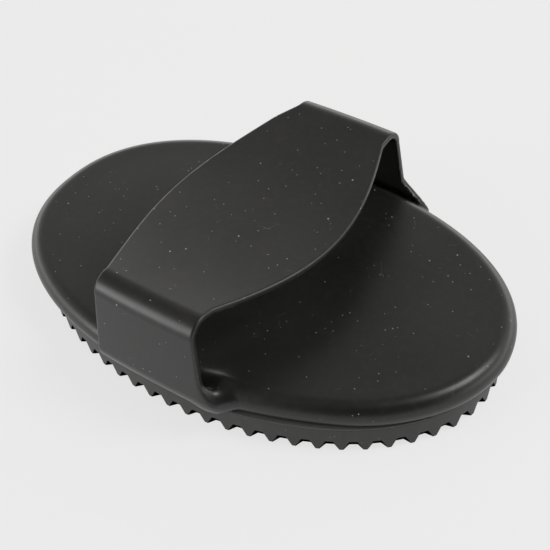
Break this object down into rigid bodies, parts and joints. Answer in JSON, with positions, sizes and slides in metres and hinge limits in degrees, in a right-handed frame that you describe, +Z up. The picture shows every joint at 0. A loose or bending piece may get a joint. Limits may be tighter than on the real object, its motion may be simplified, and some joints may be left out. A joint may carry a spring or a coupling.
{
  "type": "curry comb",
  "caption": "Oval rubber curry comb: a flat plate with a rolled rim, concentric walls of blunt teeth below and an arched hand strap above, for loosening hair and dirt.",
  "frame": {"origin": "middle of the oval, on the plane that the tooth tips stand on", "axes": "+X along the oval's long axis, +Y across it in line with the hand strap, +Z up from the teeth to the strap"},
  "size_m": [0.17, 0.1128, 0.0417],
  "materials": {
    "plate_rubber": "satin black moulded rubber with a rounded, slightly shinier rim",
    "strap_rubber": "satin black moulded rubber, dusty, with fine scuffs",
    "tooth_rubber": "matte black moulded rubber"
  },
  "bodies": {
    "root": {"back_plate": "plate_rubber", "rim_bead_right": "plate_rubber", "rim_bead_left": "plate_rubber", "hand_strap": "strap_rubber", "outer_tooth_wall": "tooth_rubber", "tooth_ring_2": "tooth_rubber", "tooth_ring_3": "tooth_rubber", "tooth_ring_4": "tooth_rubber", "centre_tooth_rib": "tooth_rubber"}
  },
  "joints": []
}
